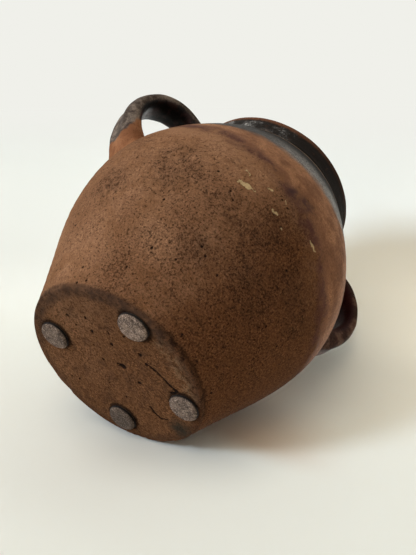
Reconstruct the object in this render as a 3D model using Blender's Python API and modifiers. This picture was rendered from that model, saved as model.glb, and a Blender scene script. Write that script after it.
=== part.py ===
"""Two-handled earthenware vessel: a thrown pot, two pulled strap handles luted to it, and four felt pads.

The pot stands on its pads at z = 0, its turning axis is +Z and its handles lie along +X and -X.
Heights of the clay are measured from the flat underside of the pot. All sizes are in metres.
"""

import math

import bmesh
import bpy
import numpy as np

# Pot, outside: the foot, the widest belly, the end of the shoulder and the collar with its lip
FOOT_RADIUS = 0.0570
FOOT_EDGE = 0.0013
FOOT_SLOPE = math.radians(20.5)
FOOT_PULL = 0.0362
BELLY_RADIUS = 0.0930
BELLY_HEIGHT = 0.1045
BELLY_PULL_BELOW = 0.0387
BELLY_PULL_ABOVE = 0.0252
SHOULDER_RADIUS = 0.0680
SHOULDER_RISE = 0.0725
SHOULDER_SLOPE = math.radians(27)
SHOULDER_PULL = 0.0210
NECK_RADIUS = 0.0618
NECK_RISE = 0.0075
NECK_PULL = 0.0042
LIP_RADIUS = 0.0635
LIP_RISE = 0.0135
LIP_SLOPE = math.radians(12)

# Pot, inside
WALL = 0.0066
LIP_THICKNESS = 0.0056
FLOOR_THICKNESS = 0.0095
FLOOR_ROUND = 0.0100

# Handles: where the strap's middle line runs, and how wide and thick it is along the way
HANDLE_STAND_OFF = 0.0160
BEND_RISE = 0.0535
CROWN_OUT = 0.0215
CROWN_RISE = 0.0290
LOWER_ROOT_RISE = 0.0160
LOWER_ROOT_ANGLE = math.radians(36)
UPPER_ROOT_RISE = 0.0040
UPPER_ROOT_ANGLE = math.radians(34)
ROOT_SINK = 0.0065
BEND_PULL = 0.0450
UPPER_PULL = 0.0270
STRAP_WIDTH = 0.0240
STRAP_THICKNESS = 0.0110
LOWER_ROOT_WIDTH = 0.0370
LOWER_ROOT_THICKNESS = 0.0245
UPPER_ROOT_WIDTH = 0.0330
UPPER_ROOT_THICKNESS = 0.0175
LOWER_FLARE_END = 0.42
UPPER_FLARE_START = 0.74
STRAP_SQUARENESS = 2.5
THUMB_GROOVE_DEPTH = 0.0011
THUMB_GROOVE_WIDTH = 0.0100
LUTE_GAP = 0.0003

# Felt pads: round discs, each with its own film of glue, at an azimuth and a distance in from the foot's edge
PAD_RADIUS = 0.0091
PAD_THICKNESS = 0.0025
PAD_EDGE = 0.0005
GLUE_RADIUS = 0.0085
GLUE_THICKNESS = 0.0003
PAD_GAP = 0.0002
PAD_PLACES = {
    "back_left": (math.radians(154), 0.0167),
    "front_left": (math.radians(254), 0.0106),
    "front_right": (math.radians(327), 0.0106),
    "back_right": (math.radians(48.5), 0.0158),
}

# How finely round shapes are cut into faces
TURN_STEPS = 64
FLANK_POINTS = 10
SHOULDER_POINTS = 9
COLLAR_POINTS = 5
LIP_POINTS = 7
FLOOR_POINTS = 5
STRAP_STATIONS = 34
STRAP_SIDES = 18
PAD_STEPS = 32
MERGE_DISTANCE = 0.00005
SHARP_ANGLE = math.radians(50)

# Colours and roughnesses of the plain materials: raw clay, dark glaze, wool felt and glue
CLAY_COLOUR = (0.205, 0.095, 0.048)
CLAY_ROUGHNESS = 0.85
GLAZE_COLOUR = (0.028, 0.020, 0.017)
GLAZE_ROUGHNESS = 0.30
FELT_COLOUR = (0.175, 0.135, 0.110)
FELT_ROUGHNESS = 1.0
GLUE_COLOUR = (0.42, 0.36, 0.26)
GLUE_ROUGHNESS = 0.60

# Heights that follow from the sizes above
SHOULDER_HEIGHT = BELLY_HEIGHT + SHOULDER_RISE
NECK_HEIGHT = SHOULDER_HEIGHT + NECK_RISE
LIP_HEIGHT = NECK_HEIGHT + LIP_RISE
CLAY_LIFT = PAD_THICKNESS + GLUE_THICKNESS + 2 * PAD_GAP


def clear_scene():
    """Empty the scene of every object it starts with."""
    for old in list(bpy.data.objects):
        bpy.data.objects.remove(old, do_unlink=True)


def new_collection(name):
    """Add a collection under the scene's own."""
    collection = bpy.data.collections.new(name)
    bpy.context.scene.collection.children.link(collection)
    return collection


def plain_material(name, colour, roughness):
    """Return a material of one colour and one roughness."""
    material = bpy.data.materials.new(name)
    material.use_nodes = True
    shader = material.node_tree.nodes["Principled BSDF"]
    shader.inputs["Base Color"].default_value = (*colour, 1.0)
    shader.inputs["Roughness"].default_value = roughness
    shader.inputs["Metallic"].default_value = 0.0
    return material


def bezier(start, start_pull, end_pull, end, count):
    """Points on a cubic curve from start to end that leaves along start_pull and arrives along end_pull."""
    start, start_pull, end_pull, end = (np.array(value) for value in (start, start_pull, end_pull, end))
    t = np.linspace(0.0, 1.0, count)[:, None]
    first = start + start_pull
    second = end - end_pull
    return (1 - t) ** 3 * start + 3 * (1 - t) ** 2 * t * first + 3 * (1 - t) * t**2 * second + t**3 * end


def outer_curve():
    """(radius, height) of the outside, from just above the foot's edge up to the lip's widest point."""
    foot = (FOOT_RADIUS, FOOT_EDGE)
    belly = (BELLY_RADIUS, BELLY_HEIGHT)
    shoulder = (SHOULDER_RADIUS, SHOULDER_HEIGHT)
    neck = (NECK_RADIUS, NECK_HEIGHT)
    lip = (LIP_RADIUS, LIP_HEIGHT)
    foot_pull = (FOOT_PULL * math.sin(FOOT_SLOPE), FOOT_PULL * math.cos(FOOT_SLOPE))
    shoulder_way = np.array((-math.sin(SHOULDER_SLOPE), math.cos(SHOULDER_SLOPE)))
    neck_pull = (0.0, NECK_PULL)
    lip_pull = (NECK_PULL * math.sin(LIP_SLOPE), NECK_PULL * math.cos(LIP_SLOPE))
    flank = bezier(foot, foot_pull, (0.0, BELLY_PULL_BELOW), belly, FLANK_POINTS)
    upper = bezier(belly, (0.0, BELLY_PULL_ABOVE), SHOULDER_PULL * shoulder_way, shoulder, SHOULDER_POINTS)
    corner = bezier(shoulder, NECK_PULL * shoulder_way, neck_pull, neck, COLLAR_POINTS)
    collar = bezier(neck, neck_pull, lip_pull, lip, COLLAR_POINTS)
    return np.vstack([flank, upper[1:], corner[1:], collar[1:]])


def moved_along_normal(curve, distance):
    """The curve pushed away from the axis by a distance for each point, or towards it where that is negative."""
    along = np.gradient(curve, axis=0)
    along /= np.linalg.norm(along, axis=1)[:, None]
    normal = np.column_stack([along[:, 1], -along[:, 0]])
    return curve + normal * np.reshape(distance, (-1, 1))


def lip_round():
    """The half round of the lip, from its widest point outside over the top to the inside."""
    half = LIP_THICKNESS / 2
    angle = np.linspace(0.0, math.pi, LIP_POINTS)
    return np.column_stack([LIP_RADIUS - half + half * np.cos(angle), LIP_HEIGHT + half * np.sin(angle)])


def inner_curve(outside):
    """(radius, height) of the inside, from the lip down to the middle of the floor."""
    thickness = np.interp(outside[:, 1], (NECK_HEIGHT, LIP_HEIGHT), (WALL, LIP_THICKNESS))
    inside = moved_along_normal(outside, -thickness)
    corner_height = FLOOR_THICKNESS + FLOOR_ROUND
    wall = inside[(inside[:, 1] > corner_height) & (inside[:, 1] < LIP_HEIGHT - LIP_THICKNESS / 2)]
    foot_of_wall = wall[0]
    way = wall[0] - wall[1]
    way *= FLOOR_ROUND / np.linalg.norm(way)
    floor_edge = (foot_of_wall[0] - FLOOR_ROUND, FLOOR_THICKNESS)
    corner = bezier(foot_of_wall, way, (-FLOOR_ROUND / 2, 0.0), floor_edge, FLOOR_POINTS)
    return np.vstack([wall[::-1], corner[1:], [(0.0, FLOOR_THICKNESS)]])


def turned(name, profile, collection):
    """A solid turned about the Z axis. The profile runs down its outer side."""
    mesh = bpy.data.meshes.new(name)
    vertices = [(radius, 0.0, height) for radius, height in profile]
    edges = [(index, index + 1) for index in range(len(vertices) - 1)]
    mesh.from_pydata(vertices, edges, [])
    obj = bpy.data.objects.new(name, mesh)
    collection.objects.link(obj)
    screw = obj.modifiers.new("Turn", "SCREW")
    screw.axis = "Z"
    screw.steps = TURN_STEPS
    screw.render_steps = TURN_STEPS
    screw.use_smooth_shade = True
    screw.use_merge_vertices = True
    screw.merge_threshold = MERGE_DISTANCE
    return obj


def pot_body(outside, parts):
    """The thrown pot, one piece of clay from its floor to its lip, hollow and open at the top."""
    underside = [(FOOT_RADIUS - FOOT_EDGE, 0.0), (0.0, 0.0)]
    profile = np.vstack([inner_curve(outside)[::-1], lip_round()[::-1], outside[::-1][1:], underside])
    body = turned("pot_body", profile, parts)
    body.location.z = CLAY_LIFT
    return body


def handle_seat_cutter(outside, cutters):
    """The filled outer form of the pot, larger by the luting gap, which shapes both ends of a handle."""
    grown = moved_along_normal(outside, LUTE_GAP)
    top = [(0.0, LIP_HEIGHT), (LIP_RADIUS, LIP_HEIGHT)]
    profile = np.vstack([top, grown[::-1][1:], [(0.0, 0.0)]])
    cutter = turned("handle_seat_cutter", profile, cutters)
    cutter.location.z = CLAY_LIFT
    cutter.hide_render = True
    cutter.display_type = "WIRE"
    return cutter


def strap_path(outside):
    """(radius, height) along the strap's middle line, from inside the lower root to inside the upper one."""
    lower_height = BELLY_HEIGHT + LOWER_ROOT_RISE
    upper_height = SHOULDER_HEIGHT + UPPER_ROOT_RISE
    wall_radius = np.interp((lower_height, upper_height), outside[:, 1], outside[:, 0])
    bend_height = BELLY_HEIGHT + BEND_RISE
    lower = (wall_radius[0] - ROOT_SINK, lower_height)
    bend = (BELLY_RADIUS + HANDLE_STAND_OFF, bend_height)
    crown = (NECK_RADIUS + CROWN_OUT, bend_height + CROWN_RISE)
    upper = (wall_radius[1] - ROOT_SINK, upper_height - ROOT_SINK * math.tan(UPPER_ROOT_ANGLE))
    third = BEND_PULL / 3
    lower_pull = (third * math.cos(LOWER_ROOT_ANGLE), third * math.sin(LOWER_ROOT_ANGLE))
    upper_third = UPPER_PULL / 3
    upper_pull = (-upper_third * math.cos(UPPER_ROOT_ANGLE), -upper_third * math.sin(UPPER_ROOT_ANGLE))
    count = STRAP_STATIONS // 3 + 1
    rising = bezier(lower, lower_pull, (0.0, third), bend, count)
    turning = bezier(bend, (0.0, third), (-third, 0.0), crown, count)
    falling = bezier(crown, (-upper_third, 0.0), upper_pull, upper, count)
    return np.vstack([rising, turning[1:], falling[1:]])


def strap_sizes(share):
    """Width and thickness of the strap at each share of its length: flared at both roots, even between."""
    low = np.clip(1 - share / LOWER_FLARE_END, 0, 1) ** 2
    high = np.clip((share - UPPER_FLARE_START) / (1 - UPPER_FLARE_START), 0, 1) ** 2
    width = STRAP_WIDTH + (LOWER_ROOT_WIDTH - STRAP_WIDTH) * low + (UPPER_ROOT_WIDTH - STRAP_WIDTH) * high
    thickness = STRAP_THICKNESS + (LOWER_ROOT_THICKNESS - STRAP_THICKNESS) * low
    thickness = thickness + (UPPER_ROOT_THICKNESS - STRAP_THICKNESS) * high
    return width, thickness


def strap_rings(outside):
    """Cross-sections of the strap, as an array of stations by sides by x, y and z."""
    path = strap_path(outside)
    along = np.gradient(path, axis=0)
    along /= np.linalg.norm(along, axis=1)[:, None]
    outward = np.column_stack([along[:, 1], -along[:, 0]])
    share = np.linspace(0.0, 1.0, len(path))
    width, thickness = strap_sizes(share)
    angle = np.arange(STRAP_SIDES) * 2 * math.pi / STRAP_SIDES
    power = 2 / STRAP_SQUARENESS
    across = np.sign(np.cos(angle)) * np.abs(np.cos(angle)) ** power
    through = np.sign(np.sin(angle)) * np.abs(np.sin(angle)) ** power
    side = across[None, :] * width[:, None] / 2
    depth = through[None, :] * thickness[:, None] / 2
    groove = THUMB_GROOVE_DEPTH * np.exp(-((side / (THUMB_GROOVE_WIDTH / 2)) ** 2))
    depth = depth - np.where(through[None, :] > 0, groove, 0.0)
    radius = path[:, None, 0] + outward[:, None, 0] * depth
    height = path[:, None, 1] + outward[:, None, 1] * depth
    return np.stack([radius, side, height], axis=2)


def strap_handle(name, outside, turn, seat_cutter, parts):
    """One pulled strap handle, lofted through its sections and cut to the wall it is luted to."""
    form = bmesh.new()
    rings = [[form.verts.new(point) for point in ring] for ring in strap_rings(outside)]
    for ring, following in zip(rings, rings[1:]):
        for index in range(STRAP_SIDES):
            beside = (index + 1) % STRAP_SIDES
            form.faces.new((ring[index], ring[beside], following[beside], following[index]))
    form.faces.new(rings[0])
    form.faces.new(rings[-1])
    bmesh.ops.recalc_face_normals(form, faces=form.faces[:])
    mesh = bpy.data.meshes.new(name)
    form.to_mesh(mesh)
    form.free()
    mesh.shade_smooth()
    mesh.set_sharp_from_angle(angle=SHARP_ANGLE)
    handle = bpy.data.objects.new(name, mesh)
    parts.objects.link(handle)
    handle.location.z = CLAY_LIFT
    handle.rotation_euler.z = turn
    seat = handle.modifiers.new("Seat on the wall", "BOOLEAN")
    seat.operation = "DIFFERENCE"
    seat.solver = "EXACT"
    seat.object = seat_cutter
    return handle


def disc(name, radius, thickness, edge, parts):
    """A round disc about its own centre, with both rims rounded by edge where that is not zero."""
    form = bmesh.new()
    bmesh.ops.create_cone(
        form, cap_ends=True, segments=PAD_STEPS, radius1=radius, radius2=radius, depth=thickness
    )
    mesh = bpy.data.meshes.new(name)
    form.to_mesh(mesh)
    form.free()
    obj = bpy.data.objects.new(name, mesh)
    parts.objects.link(obj)
    if edge:
        rounded = obj.modifiers.new("Rounded rims", "BEVEL")
        rounded.width = edge
        rounded.segments = 2
        rounded.limit_method = "ANGLE"
        rounded.angle_limit = SHARP_ANGLE
    return obj


def felt_foot(place, parts):
    """One felt pad and the film of glue between it and the clay."""
    azimuth, inset = PAD_PLACES[place]
    reach = FOOT_RADIUS - inset
    pad = disc("felt_pad_" + place, PAD_RADIUS, PAD_THICKNESS, PAD_EDGE, parts)
    glue = disc("glue_film_" + place, GLUE_RADIUS, GLUE_THICKNESS, 0.0, parts)
    for piece in (pad, glue):
        piece.location.x = reach * math.cos(azimuth)
        piece.location.y = reach * math.sin(azimuth)
    pad.location.z = PAD_THICKNESS / 2
    glue.location.z = PAD_THICKNESS + PAD_GAP + GLUE_THICKNESS / 2
    return pad, glue


def main():
    """Build the vessel."""
    clear_scene()
    parts = new_collection("two_handled_vessel")
    cutters = new_collection("cutters")
    stand = bpy.data.objects.new("vessel_axis", None)
    parts.objects.link(stand)

    clay = plain_material("raw_clay", CLAY_COLOUR, CLAY_ROUGHNESS)
    glaze = plain_material("dark_glaze", GLAZE_COLOUR, GLAZE_ROUGHNESS)
    felt = plain_material("wool_felt", FELT_COLOUR, FELT_ROUGHNESS)
    glue = plain_material("pad_glue", GLUE_COLOUR, GLUE_ROUGHNESS)

    outside = outer_curve()
    seat_cutter = handle_seat_cutter(outside, cutters)
    body = pot_body(outside, parts)
    right = strap_handle("handle_right", outside, 0.0, seat_cutter, parts)
    left = strap_handle("handle_left", outside, math.pi, seat_cutter, parts)
    finishes = [(body, clay), (right, glaze), (left, glaze)]
    for place in PAD_PLACES:
        pad, film = felt_foot(place, parts)
        finishes += [(pad, felt), (film, glue)]
    for piece, finish in finishes:
        piece.data.materials.append(finish)
        piece.parent = stand


main()
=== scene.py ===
# %% [markdown]
# # A two-handled earthenware vessel
# A potter threw this pot on a wheel, pulled two strap handles and luted them to the shoulder, dipped the
# mouth in a thin dark glaze, and fired it. Much later someone stuck four felt pads under the foot.
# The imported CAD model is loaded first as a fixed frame. Each finer piece below is built in that frame, in
# metres, so nothing has to be fitted by hand.

# %% Load the frame
import math
from functools import reduce

import bpy
import numpy as np
from mathutils import Matrix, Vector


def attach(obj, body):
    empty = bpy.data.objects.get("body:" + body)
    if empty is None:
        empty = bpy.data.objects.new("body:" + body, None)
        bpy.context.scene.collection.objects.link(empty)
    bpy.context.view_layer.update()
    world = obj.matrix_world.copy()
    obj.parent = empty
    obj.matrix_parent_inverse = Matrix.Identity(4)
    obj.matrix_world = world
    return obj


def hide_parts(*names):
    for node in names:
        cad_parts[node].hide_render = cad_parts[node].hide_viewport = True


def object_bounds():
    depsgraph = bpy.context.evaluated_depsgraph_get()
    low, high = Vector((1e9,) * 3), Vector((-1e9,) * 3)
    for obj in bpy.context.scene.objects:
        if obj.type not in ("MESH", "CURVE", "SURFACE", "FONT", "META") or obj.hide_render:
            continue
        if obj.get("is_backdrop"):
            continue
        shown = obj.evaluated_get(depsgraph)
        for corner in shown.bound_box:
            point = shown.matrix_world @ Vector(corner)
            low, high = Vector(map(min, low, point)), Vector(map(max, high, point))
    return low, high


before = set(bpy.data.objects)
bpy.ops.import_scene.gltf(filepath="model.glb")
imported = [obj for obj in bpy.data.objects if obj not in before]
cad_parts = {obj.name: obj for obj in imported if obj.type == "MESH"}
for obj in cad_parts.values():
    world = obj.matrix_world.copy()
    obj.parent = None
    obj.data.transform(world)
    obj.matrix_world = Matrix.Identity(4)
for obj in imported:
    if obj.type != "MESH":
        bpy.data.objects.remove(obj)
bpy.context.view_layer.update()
scene = bpy.context.scene
scene.view_settings.view_transform = "Standard"

# %% [markdown]
# ## The camera
# The photograph shows the pot lying on its flank with its foot towards us. In the frame the pot stands
# upright, so it is the camera that is turned: it looks up at the foot from below and is rolled over.
# Its place and three directions were worked out from the pot's outline, which a lens of this length gives.

# %% Camera
IMAGE_WIDTH, IMAGE_HEIGHT = 416, 555
FOCAL_PIXELS = 640.0
SENSOR_MM = 36.0
CAMERA_PLACE = np.array((-0.04194, -0.31466, -0.17933))
CAMERA_RIGHT = np.array((0.68586, -0.54118, 0.48654))
CAMERA_UP = np.array((-0.71864, -0.39835, 0.56997))
CAMERA_FORWARD = np.array((0.11465, 0.74057, 0.66213))


def placed(right, up, forward, place):
    """The matrix of a camera or lamp, whose own axes are right, up and straight backwards."""
    matrix = np.eye(4)
    matrix[:3, 0], matrix[:3, 1], matrix[:3, 2], matrix[:3, 3] = right, up, -np.asarray(forward), place
    return Matrix(matrix.tolist())


camera = bpy.data.objects.new("camera", bpy.data.cameras.new("camera"))
scene.collection.objects.link(camera)
camera.data.sensor_width = SENSOR_MM
camera.data.lens = SENSOR_MM * FOCAL_PIXELS / max(IMAGE_WIDTH, IMAGE_HEIGHT)
camera.data.clip_start = 0.01
camera.matrix_world = placed(CAMERA_RIGHT, CAMERA_UP, CAMERA_FORWARD, CAMERA_PLACE)
scene.camera = camera
print("camera: lens", round(camera.data.lens, 2), "mm")

# %% [markdown]
# ## Shader maths as Python
# A finish is a sum of many small patterns. Wrapping a shader socket in a class that overloads + - * /
# lets a pattern be written as one line of arithmetic, while Blender still gets ordinary Math nodes.
# Every other node comes from one method, which sets the node's own settings before its sockets.


# %% Numbers that vary over a surface
def math_node(operation):
    """A method that puts a number, and any others, into one Math node."""
    def method(field, *others):
        sockets = dict(enumerate((field, *others)))
        return field.nodes.field("ShaderNodeMath", {"operation": operation}, sockets)
    return method


class Field:
    """A shader socket that carries a number. Arithmetic on it adds Math nodes to its tree."""

    def __init__(self, nodes, socket):
        self.nodes, self.socket = nodes, socket

    __add__ = __radd__ = math_node("ADD")
    __mul__ = __rmul__ = math_node("MULTIPLY")
    __sub__, __truediv__, __pow__ = math_node("SUBTRACT"), math_node("DIVIDE"), math_node("POWER")
    __abs__, most, least = math_node("ABSOLUTE"), math_node("MAXIMUM"), math_node("MINIMUM")

    def __neg__(self):
        return self * -1.0

    def __rsub__(self, other):
        return -self + other

    def smooth(self, zero, one):
        """0 at the first bound and past it, 1 at the second and past it, and an S-curve between them."""
        sockets = {"Value": self, "From Min": zero, "From Max": one}
        return self.nodes.field("ShaderNodeMapRange", {"interpolation_type": "SMOOTHSTEP"}, sockets)


# %% A node tree
class Nodes:
    """A tree of shader nodes, and the methods that add to it."""

    def __init__(self, tree):
        self.tree = tree

    def node(self, kind, settings=None, sockets=None):
        """Any node: its settings first, then each socket's value or link."""
        made = self.tree.nodes.new(kind)
        for name, value in (settings or {}).items():
            setattr(made, name, value)
        for name, value in (sockets or {}).items():
            value = value.socket if isinstance(value, Field) else value
            if isinstance(value, bpy.types.NodeSocket):
                self.tree.links.new(value, made.inputs[name])
            else:
                made.inputs[name].default_value = value
        return made

    def field(self, kind, settings=None, sockets=None, output=0):
        """One output of a node, as a number."""
        return Field(self, self.node(kind, settings, sockets).outputs[output])

    def mixed(self, factor, first, second):
        """The second shader in place of the first by a factor."""
        return self.node("ShaderNodeMixShader", None, {0: factor, 1: first, 2: second}).outputs[0]


# %% A whole finish
class Finish(Nodes):
    """A material with one Principled shader, and the methods that put patterns into it."""

    def __init__(self, name, **values):
        self.material = bpy.data.materials.new(name)
        self.material.use_nodes = True
        super().__init__(self.material.node_tree)
        self.shader = self.tree.nodes["Principled BSDF"]
        for socket, value in values.items():
            self.shader.inputs[socket.replace("_", " ")].default_value = value
        self.place = self.node("ShaderNodeTexCoord").outputs["Object"]

    def vector(self, operation, first, second, output="Vector"):
        """Two vectors, or a vector and the number that scales it, in one Vector Math node."""
        sockets = {0: first, "Scale" if operation == "SCALE" else 1: second}
        return self.node("ShaderNodeVectorMath", {"operation": operation}, sockets).outputs[output]

    def kept(self, name):
        """A number that is kept with each point of the mesh."""
        return self.field("ShaderNodeAttribute", {"attribute_name": name}, output="Fac")

    def axes(self, place=None):
        """The three coordinates of a place as numbers."""
        split = self.node("ShaderNodeSeparateXYZ", None, {0: place or self.place})
        return [Field(self, output) for output in split.outputs]

    def along(self, way):
        """How far a place lies in the given direction, in metres."""
        return Field(self, self.vector("DOT_PRODUCT", self.place, tuple(way), "Value"))

    def stretched(self, place, scale):
        """A place with each axis scaled, for patterns that are longer one way."""
        return self.vector("MULTIPLY", place, scale)

    def noise(self, size, detail=2.0, rough=0.5, place=None):
        """Soft random clouds, 0 to 1, whose lumps are about as wide as size in metres."""
        sockets = {"Vector": place or self.place, "Scale": 1.0 / size, "Detail": detail, "Roughness": rough}
        return self.field("ShaderNodeTexNoise", None, sockets)

    def cells(self, size, place):
        """Distance to the nearest of many scattered points, in cells of that size."""
        return self.field("ShaderNodeTexVoronoi", None, {"Vector": place, "Scale": 1.0 / size})

    def warped(self, size, amount):
        """Every place pushed by a noise, so that a clean shape gets a ragged edge."""
        cloud = self.node("ShaderNodeTexNoise", None, {"Vector": self.place, "Scale": 1.0 / size})
        centred = self.vector("SUBTRACT", cloud.outputs["Color"], (0.5, 0.5, 0.5))
        return self.vector("ADD", self.place, self.vector("SCALE", centred, amount))

    def distance(self, place, point):
        """How far a place is from a point, in metres."""
        return Field(self, self.vector("DISTANCE", place, point, "Value"))

    def stroke(self, place, start, end):
        """How far a place is from the straight stroke between two points, in metres."""
        along = np.subtract(end, start)
        from_start = self.vector("SUBTRACT", place, tuple(start))
        dot = self.vector("DOT_PRODUCT", from_start, tuple(along / (along @ along)), "Value")
        share = Field(self, dot).most(0.0).least(1.0)
        return self.distance(from_start, self.vector("SCALE", tuple(along), share))

    def nearest_of(self, place, points):
        """Distance from a place to the nearest of some points, in metres."""
        return reduce(Field.least, [self.distance(place, point) for point in points])

    def nearest_stroke(self, place, strokes):
        """Distance to the edge of the nearest stroke, each given by its two ends and its half width."""
        return reduce(Field.least, [self.stroke(place, row[:3], row[3:6]) - row[6] for row in strokes])

    def blend(self, colour, *layers):
        """A colour with others laid over it in turn, each by its own factor."""
        for factor, laid in layers:
            sockets = {0: factor, 6: colour, 7: laid}
            colour = self.node("ShaderNodeMix", {"data_type": "RGBA"}, sockets).outputs[2]
        return colour

    def scaled(self, colour, factor):
        """A colour made brighter or darker by a factor."""
        return self.vector("SCALE", colour, factor)

    def feed(self, socket, value):
        """Puts a number or a colour into the Principled shader."""
        value = value.socket if isinstance(value, Field) else value
        self.tree.links.new(value, self.shader.inputs[socket])

    def relief(self, height):
        """A height in metres that only bends the light."""
        made = self.node("ShaderNodeBump", None, {"Strength": 1.0, "Distance": 1.0, "Height": height})
        self.feed("Normal", made.outputs["Normal"])

    def put_on(self, *pieces):
        """Gives the finish to some pieces."""
        for piece in pieces:
            piece.data.materials.append(self.material)


def tone(red, green, blue):
    """A colour given as it looks on a screen, 0 to 255, turned into the linear values that shaders use."""
    share = np.array((red, green, blue)) / 255.0
    linear = np.where(share <= 0.04045, share / 12.92, ((share + 0.055) / 1.055) ** 2.4)
    return (*(float(v) for v in linear), 1.0)


print("shader classes ready")

# %% [markdown]
# ## Helpers for clay shaped by hand
# Nothing made by hand is quite even. A value noise, which is a random number at every corner of a grid of
# cells with a smooth blend between them, gives lumps of any size. Every piece below is a grid of rows and
# columns that closes on itself, so a few functions turn all of them into meshes.


# %% Lumps and curves
def lumps(points, size, seed=0.0):
    """Smooth random heights, -1 to 1: hashed numbers at cell corners, blended by 3t^2 - 2t^3."""
    cell = points / size + seed
    low_corner = np.floor(cell)
    share = cell - low_corner
    share = share * share * (3.0 - 2.0 * share)
    total = np.zeros(points.shape[:-1])
    for step in np.ndindex(2, 2, 2):
        index = (low_corner + step).astype(np.int64)
        code = index[..., 0] * 73856093 ^ index[..., 1] * 19349663 ^ index[..., 2] * 83492791
        code = (code ^ (code >> 13)) * 1274126177
        value = ((code ^ (code >> 16)) & 65535) / 32767.5 - 1.0
        total += value * np.where(step, share, 1.0 - share).prod(axis=-1)
    return total


def bezier(start, start_pull, end_pull, end, count):
    """Points on the cubic curve that leaves start along start_pull and reaches end along end_pull."""
    start, start_pull, end_pull, end = (np.array(v, float) for v in (start, start_pull, end_pull, end))
    t = np.linspace(0.0, 1.0, count)[:, None]
    near = (1 - t) ** 3 * start + 3 * (1 - t) ** 2 * t * (start + start_pull)
    return near + 3 * (1 - t) * t ** 2 * (end - end_pull) + t ** 3 * end


def spaced(curve, count):
    """The same curve with count points at equal steps along it."""
    along = np.concatenate([[0.0], np.cumsum(np.linalg.norm(np.diff(curve, axis=0), axis=1))])
    wanted = np.linspace(0.0, along[-1], count)
    return np.column_stack([np.interp(wanted, along, axis) for axis in curve.T])


# %% Grids as meshes
def closed_faces(rows, columns):
    """Faces of a grid whose columns join round, with a fan to a pole at its first and its last row."""
    here = np.arange(rows * columns).reshape(rows, columns)
    beside = np.roll(here, -1, axis=1)
    quads = np.stack([here[:-1], beside[:-1], beside[1:], here[1:]], axis=-1).reshape(-1, 4)
    start, end = np.full(columns, rows * columns), np.full(columns, rows * columns + 1)
    first_fan = np.column_stack([start, beside[0], here[0]])
    last_fan = np.column_stack([here[-1], beside[-1], end])
    return quads.tolist() + first_fan.tolist() + last_fan.tolist()


def mesh_piece(name, points, faces):
    """A smooth mesh object in the scene."""
    mesh = bpy.data.meshes.new(name)
    mesh.from_pydata(points.tolist(), [], faces)
    mesh.shade_smooth()
    piece = bpy.data.objects.new(name, mesh)
    scene.collection.objects.link(piece)
    print(name, len(mesh.polygons), "faces")
    return piece


def with_poles(grid):
    """The points of grid[row, column], and after them the means of its end rows as poles."""
    return np.vstack([grid.reshape(-1, 3), grid[0].mean(axis=0), grid[-1].mean(axis=0)])


def clay_piece(name, grid):
    """A closed mesh object from grid[row, column]."""
    return mesh_piece(name, with_poles(grid), closed_faces(*grid.shape[:2]))


# %% Turned surfaces
def full_turn(columns):
    """One turn in equal angles, as a row."""
    return np.linspace(0.0, 2.0 * math.pi, columns, endpoint=False)[None, :]


def spun(radius, height, angle):
    """(r cos a, r sin a, h): rows of radius and height at every angle."""
    return np.stack([radius * np.cos(angle), radius * np.sin(angle), height + 0.0 * angle], axis=-1)


def unit(rows):
    """Vectors scaled to a length of 1."""
    return rows / np.linalg.norm(rows, axis=-1, keepdims=True)


def straight_out(rows, angle):
    """The normal of a turned profile at every row and angle: its slope (r, h) turned to (h, -r)."""
    slope = unit(np.gradient(rows, axis=0))
    return spun(slope[:, 1:], -slope[:, :1], angle)


def metres(*rows):
    """Rows of millimetres as rows of metres."""
    return tuple(tuple(value / 1000.0 for value in row) for row in rows)


# %% [markdown]
# ## The thrown pot
# A thrown pot is a turned profile, but the wheel leaves more than that: a spiral of finger rings, a wall a
# little out of round, slow lumps, a foot edge rubbed down by use. The profile repeats the CAD's named sizes,
# and the rest is a small height along the surface's own normal. A lathe modifier would give the profile
# alone, so the whole wall is one grid instead, from the middle of the base over the lip to the inside floor.

# %% Sizes of the pot
CLAY_LIFT = 0.0032
FOOT_RADIUS, FOOT_EDGE, FOOT_SLOPE, FOOT_PULL = 0.0570, 0.0013, math.radians(20.5), 0.0362
BELLY_RADIUS, BELLY_HEIGHT, BELLY_PULL_BELOW, BELLY_PULL_ABOVE = 0.0930, 0.1045, 0.0387, 0.0252
SHOULDER_RADIUS, SHOULDER_RISE, SHOULDER_SLOPE, SHOULDER_PULL = 0.0680, 0.0725, math.radians(27.0), 0.0210
NECK_RADIUS, NECK_RISE, NECK_PULL = 0.0618, 0.0075, 0.0042
LIP_RADIUS, LIP_RISE, LIP_SLOPE, LIP_THICKNESS = 0.0635, 0.0135, math.radians(12.0), 0.0056
WALL, FLOOR_THICKNESS, FLOOR_ROUND = 0.0066, 0.0095, 0.0100
SHOULDER_HEIGHT = BELLY_HEIGHT + SHOULDER_RISE
NECK_HEIGHT = SHOULDER_HEIGHT + NECK_RISE
LIP_HEIGHT = NECK_HEIGHT + LIP_RISE
COLUMNS = 352
POLE_RADIUS, ROUND_PULL = 0.0007, 0.6
# Rows of each part of the profile, and the numbers of some parts.
PART_ROWS = (48, 7, 76, 60, 12, 16, 13, 36, 8, 10)
BASE, EDGE, FLANK, LIP, INNER_WALL, LAST = 0, 1, 2, 6, 7, 10
print("pot: lip", round((CLAY_LIFT + LIP_HEIGHT) * 1000, 1), "mm above the ground")


# %% Pot profile
def leaning(pull, angle):
    """A pull of that length, leaning outwards from straight up by an angle."""
    return pull * np.array((math.sin(angle), math.cos(angle)))


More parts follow.
